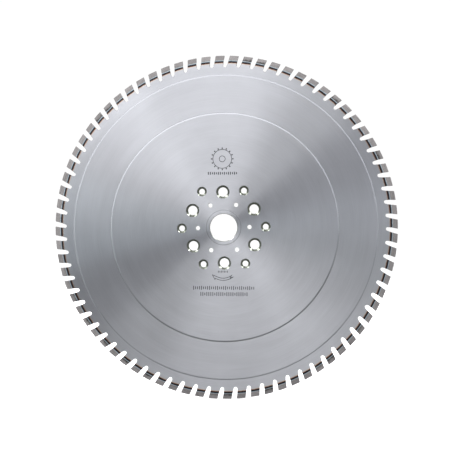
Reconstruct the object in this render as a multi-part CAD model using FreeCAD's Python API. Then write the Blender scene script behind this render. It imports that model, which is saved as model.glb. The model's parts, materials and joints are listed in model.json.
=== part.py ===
"""Diamond blade: a steel core disc with diamond segments laser-welded round its rim.

All sizes are in millimetres. Outlines are drawn in the XY plane with the front face towards +Z, and
every solid is then stood up, so that the blade turns about +Y, its front face looks towards -Y and +Z
is up. The origin is the centre of the arbor bore, half way through the core. Angles are in degrees,
counter-clockwise as seen from the front, and start at +X.
"""

import FreeCAD, Part
import math
import os

# The whole blade
OUTER_RADIUS = 375.0
SEGMENT_COUNT = 76
SEGMENTS_PER_NODE = 4
FIRST_SLOT_ANGLE = 3.75
SLOT_LEAN = 12.3  # a slot runs clockwise of the radius by this much on its way out
SLOT_RADIUS = 368.0  # where a slot's own angle is counted

# Rim, layer by layer from the core outwards. Segment height counts from the middle of the weld.
SEGMENT_HEIGHT = 13.5
SEGMENT_LENGTH = 19.6
SEGMENT_THICKNESS = 5.5
BASE_HEIGHT = 2.2
BASE_THICKNESS = 5.1
WELD_WIDTH = 2.0
WELD_THICKNESS = 4.8

# Core disc
CORE_THICKNESS = 4.5
BORE_RADIUS = 30.0
BORE_CHAMFER = 0.8
GULLET_MOUTH = 9.7
GULLET_ROOT_RADIUS = 3.9
GULLET_DEPTH = 10.9  # from the rim to the bottom of the root, along the slot

# Shallow rings in both faces: the edge of the turned flange seat, then two rolled tensioning rings.
# Each is a radius, a width and a depth. Its inner side slopes gently, and its outer side is steep.
FACE_RINGS = ((38.0, 1.4, 0.08), (249.5, 3.0, 0.3), (332.8, 2.4, 0.08))
RING_LIP = 0.05  # the share of a ring's width that its outer side takes

# Three circles of six holes: pitch radius, hole radius, countersink mouth radius, first angle
HOLES_PER_CIRCLE = 6
PIN_HOLES = (56.5, 4.75, None, 1.2)
SCREW_HOLES = (77.7, 10.25, 14.5, 31.2)
FLANGE_HOLES = (92.0, 6.3, 10.6, 1.2)
COUNTERSINK_HALF_ANGLE = 45.0

OVERSHOOT = 1.0  # how far a cutter runs past the face that it starts from

CORE_RADIUS = OUTER_RADIUS - SEGMENT_HEIGHT - WELD_WIDTH / 2
WELD_RADIUS = CORE_RADIUS + WELD_WIDTH
BASE_RADIUS = WELD_RADIUS + BASE_HEIGHT
PITCH_ANGLE = 360.0 / SEGMENT_COUNT
FRONT = FreeCAD.Vector(0, 0, 1)
CENTRE = FreeCAD.Vector(0, 0, 0)


def polar(radius, angle):
    """The point at this radius and angle."""
    turn = math.radians(angle)
    return FreeCAD.Vector(radius * math.cos(turn), radius * math.sin(turn), 0)


def turned(vector, angle):
    """The vector turned counter-clockwise by this angle."""
    return FreeCAD.Rotation(FRONT, angle).multVec(vector)


def out_to(point, direction, radius):
    """Where a line from this point, in this direction, leaves the circle of this radius."""
    along = point.dot(direction)
    across = point.dot(point) - along * along
    return point + direction * (math.sqrt(radius * radius - across) - along)


def line(start, end):
    return Part.LineSegment(start, end).toShape()


def arc(start, middle, end):
    return Part.Arc(start, middle, end).toShape()


def rim_arc(start, end, radius):
    """The arc of the circle about the centre, from start to end the short way."""
    middle = (start + end).normalize() * radius
    return arc(start, middle, end)


def plate(edges, thickness):
    """A flat plate with this outline, centred on the XY plane."""
    face = Part.Face(Part.Wire(edges))
    solid = face.extrude(FRONT * thickness)
    solid.translate(FRONT * (-thickness / 2))
    return solid


def stood_up(shape):
    """The shape with its front turned from +Z to -Y."""
    copy = shape.copy()
    copy.rotate(CENTRE, FreeCAD.Vector(1, 0, 0), 90)
    return copy


def slot_frame(slot):
    """A slot's middle at SLOT_RADIUS, and its direction outwards."""
    angle = FIRST_SLOT_ANGLE + slot * PITCH_ANGLE
    return polar(SLOT_RADIUS, angle), turned(polar(1, angle), -SLOT_LEAN)


def gullet_edges(slot):
    """One gullet, drawn counter-clockwise along the rim: down one wall, round the root, up the other."""
    middle, outward = slot_frame(slot)
    mouth = out_to(middle, outward, CORE_RADIUS)
    root = mouth - outward * (GULLET_DEPTH - GULLET_ROOT_RADIUS)
    side = turned(outward, 90)
    half_mouth = GULLET_MOUTH / 2
    first = out_to(middle - side * half_mouth, outward, CORE_RADIUS)
    last = out_to(middle + side * half_mouth, outward, CORE_RADIUS)
    # A wall is tangent to the root's arc, this far round it from the slot's direction.
    reach = GULLET_DEPTH - GULLET_ROOT_RADIUS
    span = math.hypot(reach, half_mouth)
    swing = math.degrees(math.atan2(half_mouth, reach) + math.acos(GULLET_ROOT_RADIUS / span))
    first_touch = root + turned(outward, -swing) * GULLET_ROOT_RADIUS
    last_touch = root + turned(outward, swing) * GULLET_ROOT_RADIUS
    bottom = root - outward * GULLET_ROOT_RADIUS
    edges = [line(first, first_touch), arc(first_touch, bottom, last_touch), line(last_touch, last)]
    return first, edges, last


def cylinder(radius, height, x_y, bottom):
    return Part.makeCylinder(radius, height, x_y + FRONT * bottom, FRONT)


def cone(low_radius, high_radius, height, x_y, bottom):
    return Part.makeCone(low_radius, high_radius, height, x_y + FRONT * bottom, FRONT)


def through_cutter(radius, x_y):
    """A cylinder that goes right through the core."""
    return cylinder(radius, CORE_THICKNESS + 2 * OVERSHOOT, x_y, -CORE_THICKNESS / 2 - OVERSHOOT)


def hole_cutters(pitch_radius, hole_radius, mouth_radius, first_angle):
    """The cutters of one circle of holes, countersunk from the front where a mouth radius is given."""
    half = CORE_THICKNESS / 2
    flare = math.tan(math.radians(COUNTERSINK_HALF_ANGLE))
    cutters = []
    for index in range(HOLES_PER_CIRCLE):
        place = polar(pitch_radius, first_angle + index * 360.0 / HOLES_PER_CIRCLE)
        cutters.append(through_cutter(hole_radius, place))
        if mouth_radius:
            depth = (mouth_radius - hole_radius) / flare
            wide = mouth_radius + OVERSHOOT * flare
            cutters.append(cone(hole_radius, wide, depth + OVERSHOOT, place, half - depth))
    return cutters


def bore_cutters():
    """The arbor bore, with a small chamfer at each face."""
    half = CORE_THICKNESS / 2
    reach = BORE_CHAMFER + OVERSHOOT
    wide = BORE_RADIUS + reach
    return [
        through_cutter(BORE_RADIUS, CENTRE),
        cone(BORE_RADIUS, wide, reach, CENTRE, half - BORE_CHAMFER),
        cone(wide, BORE_RADIUS, reach, CENTRE, -half - OVERSHOOT),
    ]


def ring_cutter(radius, width, depth, face):
    """A shallow V-shaped ring groove in the front face (face = 1) or the back face (face = -1)."""
    surface = face * CORE_THICKNESS / 2
    inner = FreeCAD.Vector(radius - width / 2, 0, surface)
    outer = FreeCAD.Vector(radius + width / 2, 0, surface)
    bottom = FreeCAD.Vector(outer.x - RING_LIP * width, 0, surface - face * depth)
    above = FreeCAD.Vector(radius, 0, surface + face * OVERSHOOT)
    corners = (inner, bottom, outer, above)
    sides = [line(start, end) for start, end in zip(corners, corners[1:] + corners[:1])]
    return Part.Face(Part.Wire(sides)).revolve(CENTRE, FRONT, 360)


def steel_core():
    edges = []
    gullets = [gullet_edges(slot) for slot in range(SEGMENT_COUNT)]
    for slot, (first, walls, last) in enumerate(gullets):
        next_first = gullets[(slot + 1) % SEGMENT_COUNT][0]
        edges += walls
        edges.append(rim_arc(last, next_first, CORE_RADIUS))
    core = plate(edges, CORE_THICKNESS)
    cutters = bore_cutters()
    for circle in (PIN_HOLES, SCREW_HOLES, FLANGE_HOLES):
        cutters += hole_cutters(*circle)
    for radius, width, depth in FACE_RINGS:
        cutters += [ring_cutter(radius, width, depth, face) for face in (1, -1)]
    return core.cut(cutters)


def rim_block(number, inner_radius, outer_radius, thickness):
    """One segment's layer between two radii. Its ends are parallel and lean as the slots do."""
    angle = FIRST_SLOT_ANGLE + (number + 0.5) * PITCH_ANGLE
    middle = polar(SLOT_RADIUS, angle)
    outward = turned(polar(1, angle), -SLOT_LEAN)
    half_length = turned(polar(1, angle), 90) * (SEGMENT_LENGTH / 2)
    radii = (inner_radius, outer_radius)
    low_in, low_out = (out_to(middle - half_length, outward, radius) for radius in radii)
    high_in, high_out = (out_to(middle + half_length, outward, radius) for radius in radii)
    edges = [
        line(low_in, low_out),
        rim_arc(low_out, high_out, outer_radius),
        line(high_out, high_in),
        rim_arc(high_in, low_in, inner_radius),
    ]
    return plate(edges, thickness)


def export(name, shapes):
    solids = [stood_up(shape) for shape in shapes]
    whole = solids[0] if len(solids) == 1 else Part.makeCompound(solids)
    whole.exportStep(os.path.join("parts", name + ".step"))


def main():
    os.makedirs("parts", exist_ok=True)
    export("steel_core", [steel_core()])
    layers = (
        ("laser_welds", CORE_RADIUS, WELD_RADIUS, WELD_THICKNESS),
        ("segment_bases", WELD_RADIUS, BASE_RADIUS, BASE_THICKNESS),
        ("diamond_segments", BASE_RADIUS, OUTER_RADIUS, SEGMENT_THICKNESS),
    )
    for first in range(0, SEGMENT_COUNT, SEGMENTS_PER_NODE):
        numbers = range(first, first + SEGMENTS_PER_NODE)
        span = f"{first + 1:02d}_{first + SEGMENTS_PER_NODE:02d}"
        for layer, inner_radius, outer_radius, thickness in layers:
            blocks = [rim_block(number, inner_radius, outer_radius, thickness) for number in numbers]
            export(f"{layer}_{span}", blocks)


main()
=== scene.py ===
"""The looks of a diamond blade: a brushed steel core with diamond segments laser-welded round its rim.

The blade stands upright and turns about +Y. Its front face looks towards -Y. Everything is in metres.
Angles are in radians, counter-clockwise as seen from the front, and start at +X.
"""

import json
import math

import bmesh
import bpy
from bpy.props import FloatProperty, FloatVectorProperty, IntProperty, PointerProperty
from mathutils import Matrix, Vector


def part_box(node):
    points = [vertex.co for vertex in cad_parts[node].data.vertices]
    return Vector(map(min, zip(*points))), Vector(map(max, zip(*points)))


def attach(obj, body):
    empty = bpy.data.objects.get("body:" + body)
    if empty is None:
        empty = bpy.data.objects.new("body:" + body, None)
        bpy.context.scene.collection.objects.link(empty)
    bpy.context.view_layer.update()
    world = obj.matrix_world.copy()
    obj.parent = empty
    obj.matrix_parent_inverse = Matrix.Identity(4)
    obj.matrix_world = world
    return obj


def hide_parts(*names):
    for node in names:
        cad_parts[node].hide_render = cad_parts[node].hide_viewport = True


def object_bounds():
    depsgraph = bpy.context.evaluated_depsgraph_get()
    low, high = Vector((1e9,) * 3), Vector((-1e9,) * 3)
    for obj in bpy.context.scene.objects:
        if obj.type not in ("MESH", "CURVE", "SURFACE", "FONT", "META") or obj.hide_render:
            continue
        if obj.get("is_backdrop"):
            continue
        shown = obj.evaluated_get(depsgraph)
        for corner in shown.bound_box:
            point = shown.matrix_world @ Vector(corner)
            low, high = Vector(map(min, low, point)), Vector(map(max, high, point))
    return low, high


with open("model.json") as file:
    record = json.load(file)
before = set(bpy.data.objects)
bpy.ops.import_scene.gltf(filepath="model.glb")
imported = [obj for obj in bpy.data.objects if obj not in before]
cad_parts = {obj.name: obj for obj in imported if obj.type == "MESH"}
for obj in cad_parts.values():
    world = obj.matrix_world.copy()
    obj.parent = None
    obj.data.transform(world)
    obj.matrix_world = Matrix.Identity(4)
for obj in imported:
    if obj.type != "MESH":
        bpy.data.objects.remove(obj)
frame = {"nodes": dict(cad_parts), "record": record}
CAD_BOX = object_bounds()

bl_info = {
    "name": "Diamond Blade",
    "version": (1, 0, 0),
    "blender": (4, 5, 0),
    "location": "3D View > Sidebar > Blade",
    "description": "Builds a segmented diamond blade and the studio it stands in",
    "category": "Object",
}

BODY = "root"
FRONT, BACK = -1, 1
FLAT = 0.99999  # a face whose normal's Y is past this lies flat in the front or the back
SHALLOW = 0.8  # and one past this is a side of a ring groove
SMOOTH_ANGLE = math.radians(30)
MOUNTS = {mount["name"]: mount for mount in frame["record"]["mounts"]}


def boxes(layer):
    return [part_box(name) for name in frame["nodes"] if name.startswith(layer)]


def rim_radius(layer):
    """The outer radius of a rim layer, or of the core."""
    return max(high.z for low, high in boxes(layer))


def thickness(layer):
    low, high = boxes(layer)[0]
    return high.y - low.y


CORE_RADIUS = rim_radius("steel_core")
WELD_RADIUS = rim_radius("laser_welds")
BASE_RADIUS = rim_radius("segment_bases")
OUTER_RADIUS = rim_radius("diamond_segments")
CORE_HALF = thickness("steel_core") / 2
BORE_RADIUS = MOUNTS["arbor_bore"]["dims"]["r_mm"] / 1000


def number_of(name, default, description):
    return IntProperty(name=name, description=description, default=default, min=1)


def length(name, default, description):
    return FloatProperty(
        name=name, description=description, default=default, min=0, precision=5, unit="LENGTH"
    )


def turn_of(name, degrees, description):
    return FloatProperty(
        name=name, description=description, default=math.radians(degrees), subtype="ANGLE"
    )


def colour(name, default, description):
    return FloatVectorProperty(
        name=name, description=description, default=default, min=0, max=1, subtype="COLOR"
    )


def power(name, default, description):
    return FloatProperty(name=name, description=description, default=default, min=0, unit="POWER")


class BladeSizes(bpy.types.PropertyGroup):
    """Sizes of the blade that its frame doesn't give."""

    segment_count: number_of("Segments", 76, "Segments round the rim")
    segments_per_piece: number_of("Segments per piece", 4, "Segments in one piece")
    first_slot: turn_of("First slot", 3.75, "Angle of the first slot")
    slot_lean: turn_of("Slot lean", 12.3, "How far a slot leans clockwise of the radius")
    slot_radius: length("Slot radius", 0.368, "Radius at which a slot's angle counts")
    segment_length: length("Segment length", 0.0196, "Length of a segment along the rim")
    segment_edge: length("Segment edge", 0.0004, "Worn round on a segment's edges")
    gullet_mouth: length("Gullet mouth", 0.0097, "Width of a gullet at the core's rim")
    gullet_root: length("Gullet root", 0.0039, "Radius of a gullet's root")
    gullet_depth: length("Gullet depth", 0.0109, "Depth of a gullet below the core's rim")
    edge_break: length("Edge break", 0.0002, "Chamfer on the core's cut edges")
    bore_chamfer: length("Bore chamfer", 0.0008, "Chamfer at each end of the arbor bore")
    screw_mouth: length("Screw hole mouth", 0.0145, "Radius of the large countersinks at the face")
    flange_mouth: length("Flange hole mouth", 0.0106, "Radius of the small countersinks at the face")
    holes_turn: turn_of("Holes turn", 1.2, "Angle of the first pin hole and flange hole")
    seat_ring: length("Seat ring", 0.038, "Radius of the ring at the edge of the flange seat")
    inner_ring: length("Inner ring", 0.2495, "Radius of the strong tensioning ring")
    outer_ring: length("Outer ring", 0.3328, "Radius of the faint tensioning ring")
    mark_line: length("Mark line", 0.0013, "Width of the lines of the etched marks")
    mark_rise: length("Mark rise", 0.00003, "How far a mark's scale stands proud of the steel")


class BladeColours(bpy.types.PropertyGroup):
    """Colours of the blade's finishes, and of the floor."""

    steel: colour("Steel", (0.50, 0.515, 0.54), "Ground face of the core")
    rolled_steel: colour("Rolled steel", (0.37, 0.385, 0.405), "Tensioning grooves of the core")
    cut_steel: colour("Cut steel", (0.33, 0.35, 0.30), "Walls and countersinks of the holes")
    scorched: colour("Scorched", (0.035, 0.032, 0.035), "Walls of the gullets")
    straw: colour("Straw tint", (0.56, 0.50, 0.40), "Palest temper colour, furthest from the weld")
    brown: colour("Brown tint", (0.28, 0.13, 0.09), "Temper colour just inside the weld")
    weld: colour("Weld", (0.010, 0.009, 0.010), "Scale on the laser weld")
    blue: colour("Blue tint", (0.06, 0.10, 0.14), "Temper colour just outside the weld")
    base: colour("Base", (0.37, 0.42, 0.445), "Segment base away from the weld")
    bond: colour("Bond", (0.250, 0.238, 0.235), "Metal bond of the diamond layer")
    grit: colour("Grit", (0.42, 0.41, 0.36), "Diamond grains in the bond")
    soot: colour("Soot", (0.03, 0.028, 0.025), "Smoke of the weld on some segments")
    mark: colour("Mark", (0.045, 0.045, 0.05), "Etched marks")
    floor: colour("Floor", (0.95, 0.95, 0.95), "Studio floor")


class StudioSettings(bpy.types.PropertyGroup):
    """The camera and the lights."""

    lens: FloatProperty(name="Lens", description="Focal length", default=51.5, unit="CAMERA")
    surround: FloatProperty(name="Surround", description="Strength of the soft surround", default=0.15)
    overhead: FloatProperty(name="Overhead", description="Strength of a light over the floor", default=2.2)
    key: power("Key", 64.0, "Power of the large panel before the blade, and of its twin behind")
    fill: power("Fill", 3.2, "Power of the small right panel. The left one has less")


# Shapes in the plane of the blade


def polar(radius, angle):
    return Vector((radius * math.cos(angle), 0, radius * math.sin(angle)))


def turned(angle):
    """The turn about the blade's axis, counter-clockwise as seen from the front."""
    return Matrix.Rotation(-angle, 4, "Y")


def out_to(point, direction, radius):
    """Where a line from this point crosses the circle of this radius going outwards."""
    along = point.dot(direction)
    across = point.dot(point) - along * along
    return point + direction * (math.sqrt(radius * radius - across) - along)


def new_verts(made):
    return [item for item in made["geom"] if isinstance(item, bmesh.types.BMVert)]


def new_faces(made):
    return [item for item in made["geom"] if isinstance(item, bmesh.types.BMFace)]


def column(bm, face, centre, layers):
    """Grows a closed column from a face. Each layer is how far it moves along Y and its scale."""
    inside = []
    for move, scale in layers:
        made = bmesh.ops.extrude_face_region(bm, geom=[face])
        face = new_faces(made)[0]
        verts = new_verts(made)
        bmesh.ops.translate(bm, verts=verts, vec=(0, move, 0))
        bmesh.ops.scale(bm, verts=verts, vec=(scale, 1, scale), space=Matrix.Translation(-centre))
        inside.append(face)
    bmesh.ops.delete(bm, geom=inside[:-1], context="FACES_ONLY")


def finished(bm, name, materials):
    """The bmesh as an object of this name, with its faces turned outwards."""
    bmesh.ops.remove_doubles(bm, verts=bm.verts, dist=1e-7)
    bmesh.ops.recalc_face_normals(bm, faces=bm.faces)
    mesh = bpy.data.meshes.new(name)
    bm.to_mesh(mesh)
    bm.free()
    piece = bpy.data.objects.new(name, mesh)
    bpy.context.scene.collection.objects.link(piece)
    for material in materials:
        mesh.materials.append(material)
    return piece


def smooth(mesh):
    """Smooth shading, except over sharp edges and on the flat front and back."""
    mesh.shade_smooth()
    mesh.set_sharp_from_angle(angle=SMOOTH_ANGLE)
    for face in mesh.polygons:
        if abs(face.normal.y) > FLAT:
            face.use_smooth = False


def placed(piece, nodes):
    """Makes a finished piece ride on the blade and stand for these CAD nodes."""
    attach(piece, BODY)
    if nodes:
        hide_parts(*nodes)


# Materials


class Nodes:
    """A material's node tree, with short calls for the nodes that the blade's finishes need."""

    def __init__(self, name):
        self.material = bpy.data.materials.new(name)
        self.material.use_nodes = True
        self.tree = self.material.node_tree
        self.shader = self.tree.nodes["Principled BSDF"]

    def add(self, kind, **settings):
        node = self.tree.nodes.new("ShaderNode" + kind)
        for key, value in settings.items():
            setattr(node, key, value)
        return node

    def feed(self, value, socket):
        """Links an output to this socket, or sets the socket to a plain value."""
        if isinstance(value, bpy.types.NodeSocket):
            self.tree.links.new(value, socket)
        else:
            socket.default_value = value

    def math(self, operation, *values):
        node = self.add("Math", operation=operation)
        for value, socket in zip(values, node.inputs):
            self.feed(value, socket)
        return node.outputs[0]

    def vector(self, operation, *values):
        node = self.add("VectorMath", operation=operation)
        for value, socket in zip(values, node.inputs):
            self.feed(value, socket)
        return node.outputs[0]

    def xyz(self, x, y, z):
        node = self.add("CombineXYZ")
        for value, socket in zip((x, y, z), node.inputs):
            self.feed(value, socket)
        return node.outputs[0]

    def noise(self, where, scale, detail, roughness=0.5):
        node = self.add("TexNoise")
        self.feed(where, node.inputs["Vector"])
        node.inputs["Scale"].default_value = scale
        node.inputs["Detail"].default_value = detail
        node.inputs["Roughness"].default_value = roughness
        return node.outputs["Fac"]

    def grains(self, where, scale):
        """How far each point is from the middle of its grain."""
        node = self.add("TexVoronoi")
        self.feed(where, node.inputs["Vector"])
        node.inputs["Scale"].default_value = scale
        return node.outputs["Distance"]

    def fade(self, value, start, end, low=0.0, high=1.0):
        """The value mapped smoothly from start..end to low..high."""
        node = self.add("MapRange", interpolation_type="SMOOTHSTEP")
        for item, socket in zip((value, start, end, low, high), node.inputs):
            self.feed(item, socket)
        return node.outputs[0]

    def mix(self, share, low, high):
        node = self.add("Mix", data_type="RGBA")
        self.feed(share, node.inputs[0])
        for value, socket in ((low, node.inputs[6]), (high, node.inputs[7])):
            self.feed(value if isinstance(value, bpy.types.NodeSocket) else (*value, 1.0), socket)
        return node.outputs[2]

    def lit(self, base, amount):
        """The colour times an amount."""
        node = self.add("VectorMath", operation="SCALE")
        self.feed(base, node.inputs[0])
        self.feed(amount, node.inputs["Scale"])
        return node.outputs[0]

    def bump(self, height, distance, strength):
        node = self.add("Bump")
        node.inputs["Strength"].default_value = strength
        node.inputs["Distance"].default_value = distance
        self.feed(height, node.inputs["Height"])
        return node.outputs[0]

    def place(self):
        return self.add("TexCoord").outputs["Object"]

    def round_the_axis(self):
        """The radius, and the unit vector out from the blade's axis."""
        flat = self.vector("MULTIPLY", self.place(), (1, 0, 1))
        measure = self.add("VectorMath", operation="LENGTH")
        self.feed(flat, measure.inputs[0])
        return measure.outputs["Value"], self.vector("NORMALIZE", flat)

    def stretched(self, radius, outward, radial, around):
        """Coordinates that count the radius and the way round at these rates, with no seam."""
        across = self.xyz(0, self.math("MULTIPLY", radius, radial), 0)
        return self.vector("ADD", self.lit(outward, around), across)

    def wandering(self, radius, amount):
        """The radius, moved in and out a little from place to place."""
        drift = self.noise(self.place(), 160.0, 2.0)
        return self.math("MULTIPLY_ADD", self.math("SUBTRACT", drift, 0.5), amount, radius)

    def finish(self, **sockets):
        """Sets the shader's sockets by their short names, and gives the finished material."""
        names = {
            "colour": "Base Color",
            "metal": "Metallic",
            "roughness": "Roughness",
            "normal": "Normal",
            "grain": "Anisotropic",
            "tangent": "Tangent",
        }
        for key, value in sockets.items():
            self.feed(value, self.shader.inputs[names[key]])
        return self.material


def ring_steel(colours, sizes, name, base, roughness, grain):
    """Satin steel worked in circles, darkened along the seat ring as painted shade. Towards the weld it
    turns straw, then brown, then scaled black.
    """
    nodes = Nodes(name)
    radius, outward = nodes.round_the_axis()
    fine = nodes.noise(nodes.stretched(radius, outward, 900.0, 3.0), 1.0, 4.0, 0.6)
    broad = nodes.noise(nodes.stretched(radius, outward, 60.0, 2.0), 1.0, 3.0)
    cloud = nodes.noise(nodes.place(), 9.0, 3.0)
    fine_tone = nodes.fade(fine, 0.2, 0.8, -0.05, 0.05)
    broad_tone = nodes.fade(broad, 0.25, 0.75, -0.03, 0.03)
    tone = nodes.math("ADD", fine_tone, broad_tone)
    tone = nodes.math("ADD", tone, nodes.fade(cloud, 0.25, 0.75, 0.96, 1.04))
    # Painted shade: the steel is darkened by up to 15% along the seat ring groove, standing in for the
    # shade at its edge.
    from_seat_ring = nodes.math("ABSOLUTE", nodes.math("SUBTRACT", radius, sizes.seat_ring))
    tone = nodes.math("MULTIPLY", tone, nodes.fade(from_seat_ring, 0.0005, 0.0016, 0.85, 1.0))
    steel = nodes.lit((*base,), tone)
    edge = nodes.wandering(radius, 0.0012)
    straw = nodes.fade(edge, CORE_RADIUS - 0.0042, CORE_RADIUS - 0.0022, 0.0, 0.7)
    brown = nodes.fade(edge, CORE_RADIUS - 0.0024, CORE_RADIUS - 0.0014)
    scale = nodes.fade(edge, CORE_RADIUS - 0.0013, CORE_RADIUS - 0.0005)
    tinted = nodes.mix(brown, nodes.mix(straw, steel, colours.straw), colours.brown)
    return nodes.finish(
        colour=nodes.mix(scale, tinted, colours.weld),
        metal=nodes.fade(scale, 0.0, 1.0, 1.0, 0.6),
        roughness=nodes.fade(fine, 0.2, 0.8, 0.95 * roughness, 1.05 * roughness),
        grain=grain,
        tangent=outward,
        normal=nodes.bump(fine, 0.00002, 0.3),
    )


def ground_steel(colours, sizes):
    return ring_steel(colours, sizes, "ground_steel", colours.steel, 0.425, 1.0)


def rolled_steel(colours, sizes):
    """The grooves that tension the core, pressed smoother than the ground faces beside them."""
    return ring_steel(colours, sizes, "rolled_steel", colours.rolled_steel, 0.40, 0.5)


def cut_steel(colours):
    """Milled walls of the bore and the holes."""
    nodes = Nodes("cut_steel")
    where = nodes.vector("MULTIPLY", nodes.place(), (1.0, 0.15, 1.0))
    lines = nodes.noise(where, 1400.0, 2.0)
    return nodes.finish(
        colour=nodes.lit((*colours.cut_steel,), nodes.fade(lines, 0.3, 0.7, 0.85, 1.12)),
        metal=1.0,
        roughness=nodes.fade(lines, 0.3, 0.7, 0.26, 0.38),
        normal=nodes.bump(lines, 0.00002, 0.3),
    )


def scorched_wall(colours):
    """Walls of the gullets, burnt by the cutting beam and striped across by it."""
    nodes = Nodes("scorched_wall")
    stripes = nodes.noise(nodes.vector("MULTIPLY", nodes.place(), (1.0, 0.1, 1.0)), 1100.0, 2.0)
    return nodes.finish(
        colour=nodes.lit((*colours.scorched,), nodes.fade(stripes, 0.3, 0.7, 0.6, 1.8)),
        metal=0.5,
        roughness=nodes.fade(stripes, 0.3, 0.7, 0.5, 0.68),
        normal=nodes.bump(stripes, 0.00006, 0.5),
    )


def weld_scale(colours):
    """The dark rippled seam that a laser leaves."""
    nodes = Nodes("weld_scale")
    radius, outward = nodes.round_the_axis()
    ripple = nodes.noise(nodes.stretched(radius, outward, 300.0, 420.0), 1.0, 2.0)
    return nodes.finish(
        colour=nodes.lit((*colours.weld,), nodes.fade(ripple, 0.3, 0.7, 0.7, 1.8)),
        metal=0.5,
        roughness=nodes.fade(ripple, 0.3, 0.7, 0.46, 0.64),
        normal=nodes.bump(ripple, 0.00012, 0.8),
    )


def base_alloy(colours):
    """The segment's foot: scaled at the weld, blue above it, and pale sintered metal further out."""
    nodes = Nodes("base_alloy")
    radius, outward = nodes.round_the_axis()
    edge = nodes.wandering(radius, 0.0008)
    scale = nodes.fade(edge, WELD_RADIUS + 0.0001, WELD_RADIUS + 0.0006)
    plain = nodes.fade(edge, WELD_RADIUS + 0.0005, WELD_RADIUS + 0.0013)
    pores = nodes.noise(nodes.place(), 2200.0, 2.0)
    streaks = nodes.noise(nodes.stretched(radius, outward, 1300.0, 60.0), 1.0, 2.0)
    pore_tone = nodes.fade(pores, 0.3, 0.7, -0.1, 0.1)
    streak_tone = nodes.fade(streaks, 0.3, 0.7, 0.88, 1.12)
    tone = nodes.math("ADD", pore_tone, streak_tone)
    metal = nodes.lit((*colours.base,), tone)
    return nodes.finish(
        colour=nodes.mix(scale, colours.weld, nodes.mix(plain, colours.blue, metal)),
        metal=0.6,
        roughness=nodes.fade(pores, 0.3, 0.7, 0.42, 0.56),
        normal=nodes.bump(pores, 0.00004, 0.5),
    )


def diamond_layer(colours, sizes):
    """Matt metal bond full of diamond grains. Segments differ in tone, and weld smoke marks some."""
    nodes = Nodes("diamond_layer")
    radius, outward = nodes.round_the_axis()
    place = nodes.place()
    grains = nodes.grains(place, 1500.0)
    pits = nodes.noise(place, 900.0, 3.0, 0.6)
    strokes = nodes.noise(nodes.stretched(radius, outward, 1100.0, 30.0), 1.0, 3.0)
    parts = nodes.add("SeparateXYZ")
    nodes.feed(place, parts.inputs[0])
    angle = nodes.math("ARCTAN2", parts.outputs["Z"], parts.outputs["X"])
    pitch = 2 * math.pi / sizes.segment_count
    from_first_slot = nodes.math("SUBTRACT", angle, sizes.first_slot)
    number = nodes.math("FLOOR", nodes.math("DIVIDE", from_first_slot, pitch))
    chance = nodes.add("TexWhiteNoise", noise_dimensions="1D")
    nodes.feed(number, chance.inputs["W"])
    draw = nodes.add("SeparateXYZ")
    nodes.feed(chance.outputs["Color"], draw.inputs[0])
    stroke_tone = nodes.fade(strokes, 0.3, 0.7, -0.2, 0.2)
    pit_tone = nodes.fade(pits, 0.3, 0.7, -0.14, 0.14)
    tone = nodes.math("ADD", stroke_tone, pit_tone)
    tone = nodes.math("ADD", tone, nodes.fade(draw.outputs["X"], 0.0, 1.0, 0.88, 1.12))
    bond = nodes.lit((*colours.bond,), tone)
    coloured = nodes.mix(nodes.fade(grains, 0.16, 0.30, 0.7, 0.0), bond, colours.grit)
    smoked = nodes.fade(draw.outputs["Y"], 0.66, 0.80)
    wisps = nodes.wandering(radius, 0.008)
    smoke = nodes.fade(wisps, BASE_RADIUS - 0.0005, BASE_RADIUS + 0.006, 1.0, 0.0)
    height = nodes.math("MULTIPLY_ADD", pits, 0.7, nodes.fade(grains, 0.1, 0.4, 1.0, 0.0))
    return nodes.finish(
        colour=nodes.mix(nodes.math("MULTIPLY", smoked, smoke), coloured, colours.soot),
        metal=0.35,
        roughness=nodes.fade(pits, 0.3, 0.7, 0.5, 0.68),
        normal=nodes.bump(height, 0.00012, 0.6),
    )


def etched_mark(colours):
    """A dark matt mark etched into the steel."""
    nodes = Nodes("etched_mark")
    speckle = nodes.noise(nodes.place(), 1600.0, 2.0)
    return nodes.finish(
        colour=nodes.lit((*colours.mark,), nodes.fade(speckle, 0.3, 0.7, 0.7, 1.5)),
        metal=0.2,
        roughness=nodes.fade(speckle, 0.3, 0.7, 0.55, 0.7),
    )


def pale_floor(colours):
    """A pale matt floor that throws little light back onto the blade."""
    dark = (0.04, 0.04, 0.04)
    nodes = Nodes("pale_floor")
    path = nodes.add("LightPath")
    grain = nodes.noise(nodes.place(), 30.0, 2.0)
    pale = nodes.lit((*colours.floor,), nodes.fade(grain, 0.3, 0.7, 0.99, 1.01))
    seen = nodes.mix(path.outputs["Is Camera Ray"], dark, pale)
    return nodes.finish(colour=seen, roughness=0.9)


# Pieces

# Width and depth of each ring groove
SEAT_RING = (0.0014, 0.00008)
INNER_RING = (0.003, 0.0003)
OUTER_RING = (0.0024, 0.00008)
RING_LIP = 0.05  # the share of a ring's width that its steep outer side takes

WELD_EDGE = 0.0002  # rounding of a weld seam's edges
BASE_EDGE = 0.0001  # rounding of a segment base's edges
SPARE = 0.001  # how far a cutter runs past the face that it starts from


def ring_section(radius, width, depth):
    """A ring groove's section as radius and depth: a long gentle inner side, then a steep lip."""
    start, end = radius - width / 2, radius + width / 2
    bottom = end - RING_LIP * width
    steps = 6
    points = []
    for step in range(steps):
        share = step / steps
        points.append((start + (bottom - start) * share, depth * (3 - 2 * share) * share * share))
    return points + [(bottom, depth), ((bottom + end) / 2, depth / 2), (end, 0)]


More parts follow.
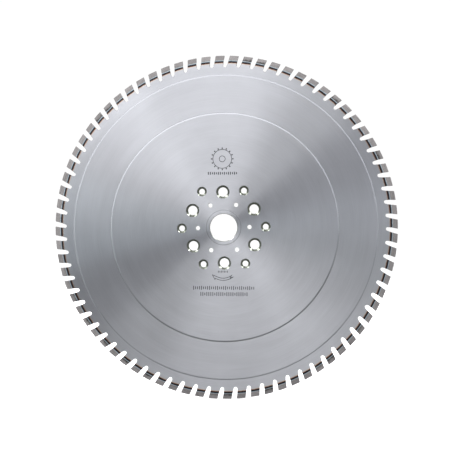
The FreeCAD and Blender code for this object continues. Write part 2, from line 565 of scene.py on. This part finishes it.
def lathed_disc(sizes):
    """The core before its holes and gullets: its section turned round the axis."""
    front = [(BORE_RADIUS, sizes.bore_chamfer), (BORE_RADIUS + sizes.bore_chamfer, 0)]
    front += ring_section(sizes.seat_ring, *SEAT_RING)
    front += ring_section(sizes.inner_ring, *INNER_RING)
    front += ring_section(sizes.outer_ring, *OUTER_RING)
    front += [(CORE_RADIUS - sizes.edge_break, 0), (CORE_RADIUS, sizes.edge_break)]
    bm = bmesh.new()
    section = [bm.verts.new((radius, FRONT * (CORE_HALF - depth), 0)) for radius, depth in front]
    back = reversed(front)
    section += [bm.verts.new((radius, BACK * (CORE_HALF - depth), 0)) for radius, depth in back]
    edges = [bm.edges.new(pair) for pair in zip(section, section[1:] + section[:1])]
    around = {"cent": (0, 0, 0), "axis": (0, 1, 0), "angle": 2 * math.pi}
    bmesh.ops.spin(bm, geom=section + edges, steps=6 * sizes.segment_count, use_merge=True, **around)
    return bm


def gullet_outline(bm, sizes):
    """The outline of the gullet at +X, drawn on past the rim. Returns the middle of its root."""
    lean = turned(-sizes.slot_lean)
    outward = lean @ Vector((1, 0, 0))
    side = lean @ Vector((0, 0, 1))
    mouth = out_to(Vector((sizes.slot_radius, 0, 0)), outward, CORE_RADIUS)
    reach = sizes.gullet_depth - sizes.gullet_root
    root = mouth - outward * reach
    half_mouth = sizes.gullet_mouth / 2
    swing = math.atan2(half_mouth, reach) + math.acos(sizes.gullet_root / math.hypot(reach, half_mouth))
    touch = root + turned(swing - sizes.slot_lean) @ Vector((sizes.gullet_root, 0, 0))
    start = bm.verts.new(touch)
    around = 2 * (math.pi - swing)
    arc = bmesh.ops.spin(bm, geom=[start], cent=root, axis=(0, -1, 0), angle=around, steps=20)
    end = next(item for item in arc["geom_last"] if isinstance(item, bmesh.types.BMVert))
    past_rim = 2.0  # how many times its own length a wall is drawn out to
    corners = []
    for vert, sign in ((start, 1), (end, -1)):
        corner = mouth + side * (sign * half_mouth)
        corners.append(bm.verts.new(vert.co + (corner - vert.co) * past_rim))
        bm.edges.new((vert, corners[-1]))
    bm.edges.new(corners)
    return root


def build_gullets(sizes):
    """The cutters of all the gullets, a little wider at the two faces so that they break the edges."""
    bm = bmesh.new()
    centre = gullet_outline(bm, sizes)
    face = bmesh.ops.contextual_create(bm, geom=bm.edges[:])["faces"][0]
    wide = 1 + (sizes.edge_break + SPARE) / sizes.gullet_root
    bmesh.ops.translate(bm, verts=bm.verts, vec=(0, FRONT * (CORE_HALF + SPARE), 0))
    bmesh.ops.scale(bm, verts=bm.verts, vec=(wide, 1, wide), space=Matrix.Translation(-centre))
    layers = (
        (SPARE + sizes.edge_break, 1 / wide),
        (2 * (CORE_HALF - sizes.edge_break), 1.0),
        (SPARE + sizes.edge_break, wide),
    )
    column(bm, face, centre, layers)
    bmesh.ops.rotate(bm, verts=bm.verts, cent=(0, 0, 0), matrix=turned(sizes.first_slot))
    round_the_rim(bm, sizes, sizes.segment_count)
    return bm


def round_the_rim(bm, sizes, count):
    """Repeats everything in the bmesh, one segment's pitch further on each time."""
    one = bm.verts[:] + bm.edges[:] + bm.faces[:]
    pitch = 2 * math.pi / sizes.segment_count
    for number in range(1, count):
        copy = bmesh.ops.duplicate(bm, geom=one)
        bmesh.ops.rotate(bm, verts=new_verts(copy), cent=(0, 0, 0), matrix=turned(number * pitch))


def hole_cutter(bm, centre, radius, mouth, edge_break):
    """One hole's cutter, from the back: a broken edge, the wall, and a countersink or a broken edge."""
    sink = (mouth or radius + edge_break) - radius
    wide = radius + edge_break + SPARE
    front = radius + sink + SPARE
    disc = bmesh.ops.create_circle(bm, cap_ends=True, segments=96, radius=wide)
    verts = disc["verts"]
    face = verts[0].link_faces[0]
    bmesh.ops.rotate(bm, verts=verts, cent=(0, 0, 0), matrix=Matrix.Rotation(math.pi / 2, 3, "X"))
    bmesh.ops.translate(bm, verts=verts, vec=centre + Vector((0, BACK * (CORE_HALF + SPARE), 0)))
    layers = (
        (FRONT * (SPARE + edge_break), radius / wide),
        (FRONT * (2 * CORE_HALF - edge_break - sink), 1.0),
        (FRONT * (sink + SPARE), front / radius),
    )
    column(bm, face, centre, layers)


def build_holes(sizes):
    bm = bmesh.new()
    circles = (
        ("pin_holes", None, sizes.holes_turn),
        ("screw_holes", sizes.screw_mouth, sizes.holes_turn + math.pi / 6),
        ("flange_holes", sizes.flange_mouth, sizes.holes_turn),
    )
    for mount, mouth, first in circles:
        dims = MOUNTS[mount]["dims"]
        for number in range(dims["count"]):
            centre = polar(dims["pcd_mm"] / 2000, first + number * 2 * math.pi / dims["count"])
            hole_cutter(bm, centre, dims["hole_r_mm"] / 1000, mouth, sizes.edge_break)
    return bm


def cut_away(piece, cutters):
    """Takes the cutters out of a piece, and removes them."""
    for cutter in cutters:
        cut = piece.modifiers.new("cut", "BOOLEAN")
        cut.operation = "DIFFERENCE"
        cut.solver = "MANIFOLD"
        cut.object = cutter
    graph = bpy.context.evaluated_depsgraph_get()
    mesh = bpy.data.meshes.new_from_object(piece.evaluated_get(graph), depsgraph=graph)
    piece.modifiers.clear()
    old = piece.data
    piece.data = mesh
    mesh.name = piece.name
    bpy.data.meshes.remove(old)
    for cutter in cutters:
        bpy.data.meshes.remove(cutter.data)


def block(sizes, inner, outer, half, edge):
    """One segment's layer at +X, turned through its own arc and cut off along the lean at both ends."""
    bm = bmesh.new()
    sweep = 1.3 * sizes.segment_length / inner  # enough to cut both ends from
    corners = [(inner, -half), (outer, -half), (outer, half), (inner, half)]
    section = [bm.verts.new((radius, y, 0)) for radius, y in corners]
    edges = [bm.edges.new(pair) for pair in zip(section, section[1:] + section[:1])]
    bmesh.ops.rotate(bm, verts=bm.verts, cent=(0, 0, 0), matrix=turned(-sweep / 2))
    bmesh.ops.spin(bm, geom=section + edges, cent=(0, 0, 0), axis=(0, -1, 0), angle=sweep, steps=4)
    side = turned(-sizes.slot_lean) @ Vector((0, 0, 1))
    for sign in (1, -1):
        end = Vector((sizes.slot_radius, 0, sign * sizes.segment_length / 2))
        everything = bm.verts[:] + bm.edges[:] + bm.faces[:]
        plane = {"plane_co": end, "plane_no": side * sign}
        cut = bmesh.ops.bisect_plane(bm, geom=everything, dist=1e-7, clear_outer=True, **plane)
        rim = [item for item in cut["geom_cut"] if isinstance(item, bmesh.types.BMEdge)]
        bmesh.ops.edgeloop_fill(bm, edges=rim)
    bmesh.ops.recalc_face_normals(bm, faces=bm.faces)
    corner = math.radians(40)
    sharp = [item for item in bm.edges if item.calc_face_angle(0) > corner]
    shape = {"offset_type": "OFFSET", "segments": 1, "profile": 0.5, "affect": "EDGES", "material": -1}
    bmesh.ops.bevel(bm, geom=sharp, offset=edge, **shape)
    return bm


def rim_pieces(sizes, layer, inner, outer, edge, material):
    """A layer's blocks all round the rim, a few to a piece, each piece standing for its CAD node."""
    pitch = 2 * math.pi / sizes.segment_count
    for first in range(0, sizes.segment_count, sizes.segments_per_piece):
        last = first + sizes.segments_per_piece
        node = f"{layer}_{first + 1:02d}_{last:02d}"
        bm = block(sizes, inner, outer, thickness(layer) / 2, edge)
        round_the_rim(bm, sizes, sizes.segments_per_piece)
        start = sizes.first_slot + (first + 0.5) * pitch
        bmesh.ops.rotate(bm, verts=bm.verts, cent=(0, 0, 0), matrix=turned(start))
        piece = finished(bm, "ground_" + node, [material])
        smooth(piece.data)
        placed(piece, [node])


class BLADE_OT_core(bpy.types.Operator):
    """Build the steel core with its bore, holes, gullets and rings"""

    bl_idname = "blade.core"
    bl_label = "Steel Core"

    def execute(self, context):
        sizes, colours = context.scene.blade_sizes, context.scene.blade_colours
        core = finished(lathed_disc(sizes), "brushed_core", [])
        gullets = finished(build_gullets(sizes), "gullet_cutter", [])
        holes = finished(build_holes(sizes), "hole_cutter", [])
        cut_away(core, [gullets, holes])
        core.data.materials.clear()
        for finish in (ground_steel, rolled_steel):
            core.data.materials.append(finish(colours, sizes))
        for finish in (cut_steel, scorched_wall):
            core.data.materials.append(finish(colours))
        gullets_start = CORE_RADIUS - 1.2 * sizes.gullet_depth  # a little inside their roots
        for face in core.data.polygons:
            if abs(face.normal.y) > FLAT:
                face.material_index = 0
            elif abs(face.normal.y) > SHALLOW:
                face.material_index = 1
            elif face.center.length < gullets_start:
                face.material_index = 2
            else:
                face.material_index = 3
        smooth(core.data)
        placed(core, ["steel_core"])
        return {"FINISHED"}


class BLADE_OT_welds(bpy.types.Operator):
    """Build the laser weld seams between the core and the segments"""

    bl_idname = "blade.welds"
    bl_label = "Laser Welds"

    def execute(self, context):
        sizes, colours = context.scene.blade_sizes, context.scene.blade_colours
        material = weld_scale(colours)
        rim_pieces(sizes, "laser_welds", CORE_RADIUS, WELD_RADIUS, WELD_EDGE, material)
        return {"FINISHED"}


class BLADE_OT_bases(bpy.types.Operator):
    """Build the diamond-free feet of the segments"""

    bl_idname = "blade.bases"
    bl_label = "Segment Bases"

    def execute(self, context):
        sizes, colours = context.scene.blade_sizes, context.scene.blade_colours
        material = base_alloy(colours)
        rim_pieces(sizes, "segment_bases", WELD_RADIUS, BASE_RADIUS, BASE_EDGE, material)
        return {"FINISHED"}


class BLADE_OT_segments(bpy.types.Operator):
    """Build the diamond layer of the segments"""

    bl_idname = "blade.segments"
    bl_label = "Diamond Segments"

    def execute(self, context):
        sizes, colours = context.scene.blade_sizes, context.scene.blade_colours
        material = diamond_layer(colours, sizes)
        edge = sizes.segment_edge
        rim_pieces(sizes, "diamond_segments", BASE_RADIUS, OUTER_RADIUS, edge, material)
        return {"FINISHED"}


# Marks, drawn flat in the plane of the blade and then raised off its front face


def ring(bm, centre, radius, width, steps):
    """A flat ring about this centre. The radius is that of its middle line."""
    ends = [bm.verts.new(centre + polar(radius + width * share, 0)) for share in (-0.5, 0.5)]
    edge = bm.edges.new(ends)
    turn = {"cent": centre, "axis": (0, -1, 0), "angle": 2 * math.pi, "steps": steps}
    bmesh.ops.spin(bm, geom=ends + [edge], use_merge=True, **turn)


def bar(bm, centre, width, height, tilt=0.0):
    """An upright bar, tilted counter-clockwise."""
    place = Matrix.Translation(centre) @ turned(tilt) @ Matrix.Rotation(math.pi / 2, 4, "X")
    shape = Matrix.Diagonal((width, height, 1, 1))
    bmesh.ops.create_grid(bm, x_segments=1, y_segments=1, size=0.5, matrix=place @ shape)


def bar_row(bm, left, right, middle, pitch, width, heights):
    """Upright bars all along a row. Their heights repeat."""
    for number in range(round((right - left) / pitch) + 1):
        height = heights[number % len(heights)]
        bar(bm, Vector((left + number * pitch, 0, middle)), width, height)


def disc_sign(bm, sizes):
    """A plain sign: a toothed disc with a hole, over a row of bars."""
    centre = Vector((-0.003, 0, 0.150))
    disc_radius, hole_radius, teeth_radius = 0.0205, 0.0065, 0.0232
    ring(bm, centre, disc_radius, sizes.mark_line, 64)
    ring(bm, centre, hole_radius, sizes.mark_line, 32)
    teeth, tooth_width, tooth_height = 16, 0.0026, 0.0032
    for number in range(teeth):
        angle = 2 * math.pi * number / teeth
        place = centre + polar(teeth_radius, angle)
        bar(bm, place, tooth_width, tooth_height, angle - math.pi / 2)
    bar_row(bm, -0.0335, 0.0275, 0.1185, 0.0044, 0.0022, (0.006, 0.006, 0.0045, 0.006, 0.0045))


def turning_arrow(bm, sizes):
    """The outline of a curved arrow that points clockwise, the way the blade turns."""
    centre = Vector((-0.001, 0, -0.080))
    inner, middle, outer, barb_radius = 0.0302, 0.0335, 0.0362, 0.0396
    tail, notch_angle, barbs, tip = (math.radians(degrees) for degrees in (312, 300, 243, 222))
    start = bm.verts.new(centre + polar(outer, barbs))
    around = {"cent": centre, "axis": (0, -1, 0), "steps": 14}
    low = bmesh.ops.spin(bm, geom=[start], angle=tail - barbs, **around)
    low_end = next(item for item in low["geom_last"] if isinstance(item, bmesh.types.BMVert))
    notch = bm.verts.new(centre + polar(middle, notch_angle))
    high_start = bm.verts.new(centre + polar(inner, tail))
    high = bmesh.ops.spin(bm, geom=[high_start], angle=barbs - tail, **around)
    high_end = next(item for item in high["geom_last"] if isinstance(item, bmesh.types.BMVert))
    point = bm.verts.new(centre + polar(middle, tip))
    barb = bm.verts.new(centre + polar(barb_radius, barbs))
    for corners in ((low_end, notch, high_start), (high_end, point, barb, start)):
        for pair in zip(corners, corners[1:]):
            bm.edges.new(pair)
    loop = [edge for edge in bm.edges if not edge.link_faces]
    shape = bmesh.ops.contextual_create(bm, geom=loop)["faces"]
    line = {"thickness": sizes.mark_line, "use_even_offset": True, "use_boundary": True}
    bmesh.ops.inset_region(bm, faces=shape, **line)
    bmesh.ops.delete(bm, geom=shape, context="FACES_ONLY")


def printed_rows(bm, sizes):
    """Two rows of plain bars under the arrow, and a short one above it."""
    bar_row(bm, -0.0115, 0.0085, -0.0966, 0.0033, 0.0014, (0.0045, 0.0036))
    low, middle, high = 0.006, 0.0075, 0.0085
    pitch, width = 0.0044, 0.0017
    bar_row(bm, -0.066, 0.066, -0.1322, pitch, width, (high, low, low, middle))
    bar_row(bm, -0.050, 0.050, -0.1456, pitch, width, (high, high, low, high, high))


class BLADE_OT_marks(bpy.types.Operator):
    """Build the plain marks etched on the front face"""

    bl_idname = "blade.marks"
    bl_label = "Etched Marks"

    def execute(self, context):
        sizes, colours = context.scene.blade_sizes, context.scene.blade_colours
        material = etched_mark(colours)
        for name, draw in (
            ("disc_sign", disc_sign),
            ("turning_arrow", turning_arrow),
            ("printed_rows", printed_rows),
        ):
            bm = bmesh.new()
            draw(bm, sizes)
            bmesh.ops.translate(bm, verts=bm.verts, vec=(0, FRONT * CORE_HALF, 0))
            made = bmesh.ops.extrude_face_region(bm, geom=bm.faces[:])
            bmesh.ops.translate(bm, verts=new_verts(made), vec=(0, FRONT * sizes.mark_rise, 0))
            placed(finished(bm, name, [material]), [])
        return {"FINISHED"}


class BLADE_OT_studio(bpy.types.Operator):
    """Set up the floor, the lights and the camera"""

    bl_idname = "blade.studio"
    bl_label = "Studio"

    def execute(self, context):
        scene = context.scene
        settings = scene.blade_studio
        self.build_floor(scene.blade_colours)
        self.build_surround(scene, settings.surround)
        self.build_lights(scene, settings)
        self.build_camera(scene, settings.lens)
        scene.view_settings.view_transform = "Standard"
        scene.view_settings.look = "None"
        return {"FINISHED"}

    def build_floor(self, colours):
        bm = bmesh.new()
        bmesh.ops.create_grid(bm, x_segments=8, y_segments=8, size=12)
        bmesh.ops.translate(bm, verts=bm.verts, vec=(0, 0, -OUTER_RADIUS))
        finished(bm, "studio_floor", [pale_floor(colours)])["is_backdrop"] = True

    def build_surround(self, scene, strength):
        """White behind the blade, and a dim cool grey that the steel mirrors."""
        white = (1.02, 1.02, 1.02, 1)
        mirrored = [strength * share for share in (0.90, 1.0, 1.04)]
        world = bpy.data.worlds.new("surround")
        world.use_nodes = True
        tree = world.node_tree
        background = tree.nodes["Background"]
        path = tree.nodes.new("ShaderNodeLightPath")
        level = tree.nodes.new("ShaderNodeMix")
        level.data_type = "RGBA"
        level.inputs[6].default_value = (*mirrored, 1)
        level.inputs[7].default_value = white
        tree.links.new(path.outputs["Is Camera Ray"], level.inputs[0])
        tree.links.new(level.outputs[2], background.inputs["Color"])
        scene.world = world

    def build_lights(self, scene, settings):
        """Panels before and behind the blade, and two lights over the floor, in the blade's own plane."""
        large = {"tint": (1.0, 0.98, 1.0), "size": (2.66, 2.5), "distance": 2.0}
        self.panel(scene, "key_panel", settings.key, around=114, off_axis=42, **large)
        self.panel(scene, "back_panel", settings.key, around=114, off_axis=138, **large)
        self.panel(scene, "back_side_panel", settings.key / 2, around=15, off_axis=135, **large)
        small = {"size": (0.8, 0.8), "distance": 1.63}
        right = {"tint": (1.0, 0.98, 1.04), "around": 21.6, "off_axis": 29}
        left = {"tint": (0.86, 1.0, 1.06), "around": 178, "off_axis": 58}
        self.panel(scene, "right_panel", settings.fill, **right, **small)
        self.panel(scene, "left_panel", settings.fill * 0.7, **left, **small)
        softness = 18
        for side, around in (("right", 50), ("left", 130)):
            overhead = bpy.data.lights.new("overhead_" + side, "SUN")
            overhead.energy = settings.overhead
            overhead.angle = math.radians(softness)
            self.hang(scene, overhead, self.away(around, 90))

    def panel(self, scene, name, power, tint, around, off_axis, size, distance):
        """A soft panel that faces the blade, this far round its axis and off its front, in degrees."""
        light = bpy.data.lights.new(name, "AREA")
        light.color = tint
        light.shape = "RECTANGLE"
        light.size, light.size_y = size
        light.energy = power
        self.hang(scene, light, self.away(around, off_axis) * distance)

    def away(self, around, off_axis):
        """The direction this far round the blade's axis and off its front, in degrees."""
        off = math.radians(off_axis)
        return polar(math.sin(off), math.radians(around)) + Vector((0, FRONT * math.cos(off), 0))

    def hang(self, scene, light, place):
        """A light here that points at the middle of the blade, with its width along the blade's rim."""
        lamp = bpy.data.objects.new(light.name, light)
        away = place.normalized()
        wide = Vector((0, -1, 0)).cross(place).normalized()
        facing = Matrix((wide, away.cross(wide), away)).transposed()
        lamp.matrix_world = Matrix.Translation(place) @ facing.to_4x4()
        lamp.visible_camera = False
        scene.collection.objects.link(lamp)

    def build_camera(self, scene, lens):
        """Nearly square on, from a little to the right."""
        place = Vector((0.1057, -1.418, 0.0104))
        target = Vector((0.0062, 0, 0.0011))
        data = bpy.data.cameras.new("camera")
        data.lens = lens
        data.clip_end = 50
        camera = bpy.data.objects.new("camera", data)
        camera.location = place
        camera.rotation_euler = (target - place).to_track_quat("-Z", "Y").to_euler()
        scene.collection.objects.link(camera)
        scene.camera = camera


STEPS = (
    BLADE_OT_core,
    BLADE_OT_welds,
    BLADE_OT_bases,
    BLADE_OT_segments,
    BLADE_OT_marks,
    BLADE_OT_studio,
)


class BLADE_PT_panel(bpy.types.Panel):
    """Lists the blade's build steps and settings"""

    bl_label = "Diamond Blade"
    bl_idname = "BLADE_PT_panel"
    bl_space_type = "VIEW_3D"
    bl_region_type = "UI"
    bl_category = "Blade"

    def draw(self, context):
        scene = context.scene
        for step in STEPS:
            self.layout.operator(step.bl_idname)
        for group in (scene.blade_sizes, scene.blade_colours, scene.blade_studio):
            box = self.layout.box()
            for name in group.__annotations__:
                box.prop(group, name)


GROUPS = (BladeSizes, BladeColours, StudioSettings)
CLASSES = (*GROUPS, *STEPS, BLADE_PT_panel)


def register():
    for item in CLASSES:
        bpy.utils.register_class(item)
    bpy.types.Scene.blade_sizes = PointerProperty(type=BladeSizes)
    bpy.types.Scene.blade_colours = PointerProperty(type=BladeColours)
    bpy.types.Scene.blade_studio = PointerProperty(type=StudioSettings)


def unregister():
    del bpy.types.Scene.blade_sizes
    del bpy.types.Scene.blade_colours
    del bpy.types.Scene.blade_studio
    for item in reversed(CLASSES):
        bpy.utils.unregister_class(item)


def write_sizes():
    boxes = {"cad": CAD_BOX, "visual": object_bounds()}
    plain = {name: [list(corner) for corner in box] for name, box in boxes.items()}


def main():
    register()
    bpy.ops.blade.core()
    bpy.ops.blade.welds()
    bpy.ops.blade.bases()
    bpy.ops.blade.segments()
    bpy.ops.blade.marks()
    bpy.ops.blade.studio()
    write_sizes()


if __name__ == "__main__":
    main()
